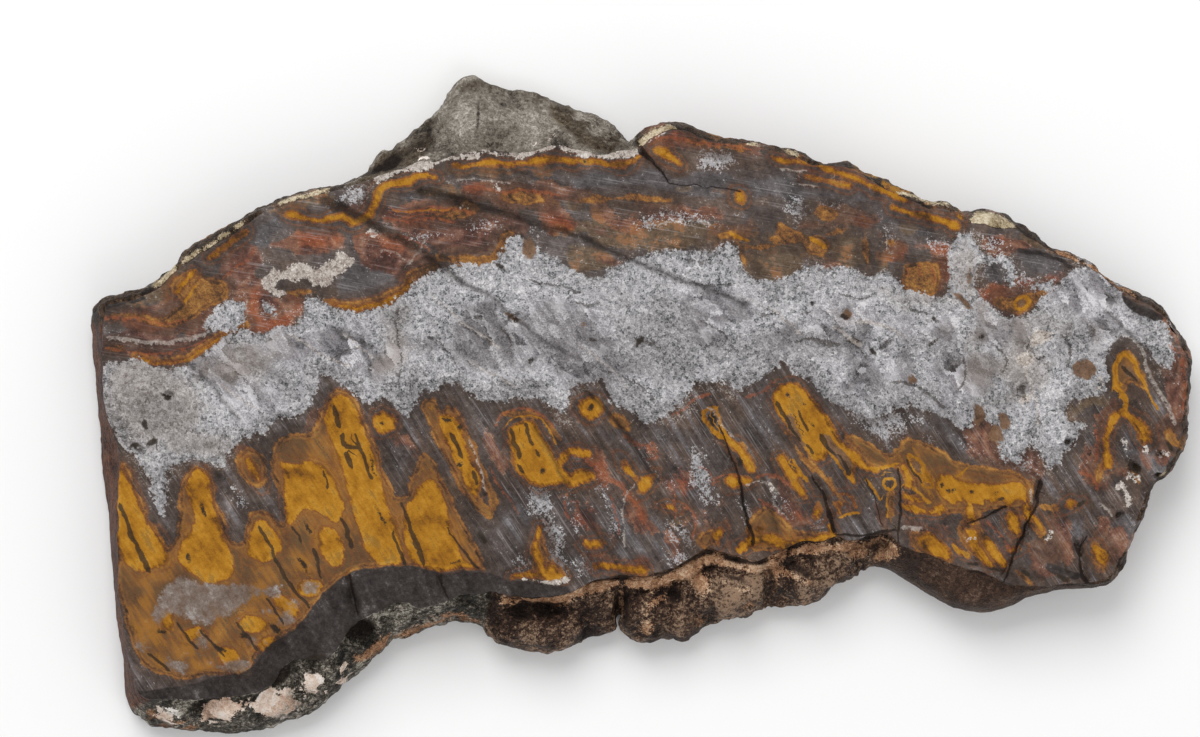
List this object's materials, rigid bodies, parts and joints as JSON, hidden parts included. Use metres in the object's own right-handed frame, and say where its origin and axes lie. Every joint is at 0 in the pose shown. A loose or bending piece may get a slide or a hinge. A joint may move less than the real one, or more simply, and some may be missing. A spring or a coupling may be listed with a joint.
{
  "type": "tiger iron slab",
  "caption": "Flat sawn slab of banded tiger iron with a broken, lumpy rim and a rough peak on one side, for show or for cutting.",
  "frame": {"origin": "centre of the slab's bounding box in plan, on the sawn back face that it lies on", "axes": "+X along the slab's long side towards its round end, +Y towards the peak on the rim, +Z out of the sawn front face, which faces up"},
  "size_m": [0.222, 0.1326, 0.015],
  "materials": {
    "tiger_iron": "satin"
  },
  "bodies": {
    "root": {"tiger_iron_slab": "tiger_iron"}
  },
  "joints": []
}
